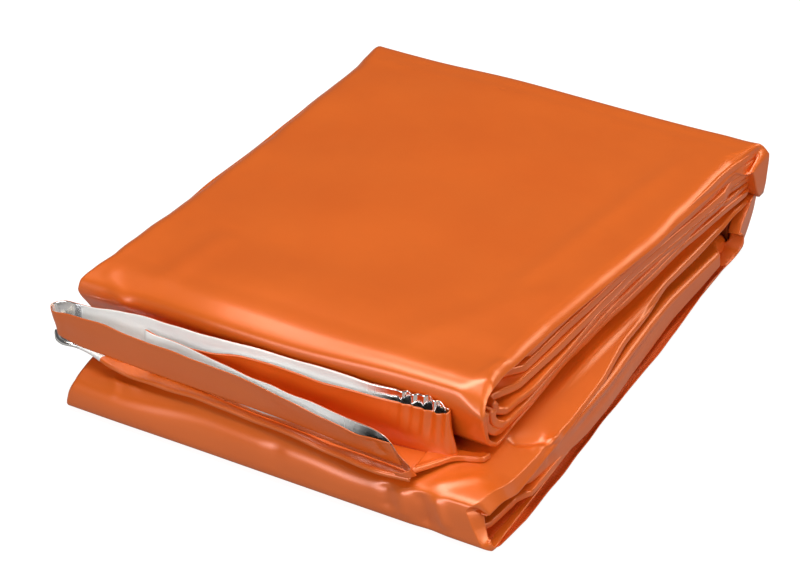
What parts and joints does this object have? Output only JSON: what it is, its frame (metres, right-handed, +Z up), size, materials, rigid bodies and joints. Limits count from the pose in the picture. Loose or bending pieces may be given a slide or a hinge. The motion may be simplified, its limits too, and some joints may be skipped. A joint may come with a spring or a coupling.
{
  "type": "folded bivy sack",
  "caption": "Emergency bivy sack of metallised film, orange outside and silver inside, folded into a flat packet with its gusseted mouth standing out in front.",
  "frame": {"origin": "centre of the packet's footprint, on the surface it lies on", "axes": "+Z up, +X to the right along the front edge, +Y from the front edge towards the spine"},
  "size_m": [0.1214, 0.16, 0.032],
  "materials": {
    "orange_film": "satin metallised orange film, lightly creased",
    "silver_film": "vacuum-aluminised film, bright, crinkled at its cut edges",
    "seam_film": "the same orange film pressed flat in a heat-welded band"
  },
  "bodies": {
    "lower_half": {"lower_cover": "orange_film", "lower_pleat_1": "orange_film", "lower_pleat_2": "orange_film", "lower_pleat_3": "orange_film", "lower_pleat_4": "orange_film", "side_seam": "seam_film", "foot_seam": "seam_film", "spine_lower": "orange_film", "mouth_under_layer": "orange_film", "mouth_tongue": "orange_film", "mouth_rear_wall": "silver_film", "mouth_gusset_rear": "orange_film"},
    "upper_half": {"upper_cover": "orange_film", "upper_pleat_1": "orange_film", "upper_pleat_2": "orange_film", "upper_pleat_3": "orange_film", "upper_pleat_4": "orange_film", "upper_pleat_5": "orange_film", "upper_pleat_6": "orange_film", "spine_upper": "orange_film"},
    "mouth_front": {"mouth_front_wall": "orange_film", "mouth_left_turn": "orange_film"},
    "mouth_gusset": {"mouth_gusset_front": "silver_film"}
  },
  "joints": [
    {"name": "book_fold", "type": "hinge", "parent": "lower_half", "child": "upper_half", "pos_m": [0, 0.08, 0.016], "axis": [-1, 0, 0], "range_deg": [0, 180]},
    {"name": "mouth_front_fold", "type": "hinge", "parent": "lower_half", "child": "mouth_front", "pos_m": [-0.0573, -0.0765, 0.0145], "axis": [0.9996, -0.0279, 0], "range_deg": [0, 75]},
    {"name": "mouth_gusset_fold", "type": "hinge", "parent": "lower_half", "child": "mouth_gusset", "pos_m": [-0.0385, -0.0743, 0.0145], "axis": [0.9994, -0.0335, 0], "range_deg": [0, 38]}
  ],
  "couplings": [
    {"joint": "mouth_gusset_fold", "follows": "mouth_front_fold", "ratio": 0.5}
  ]
}
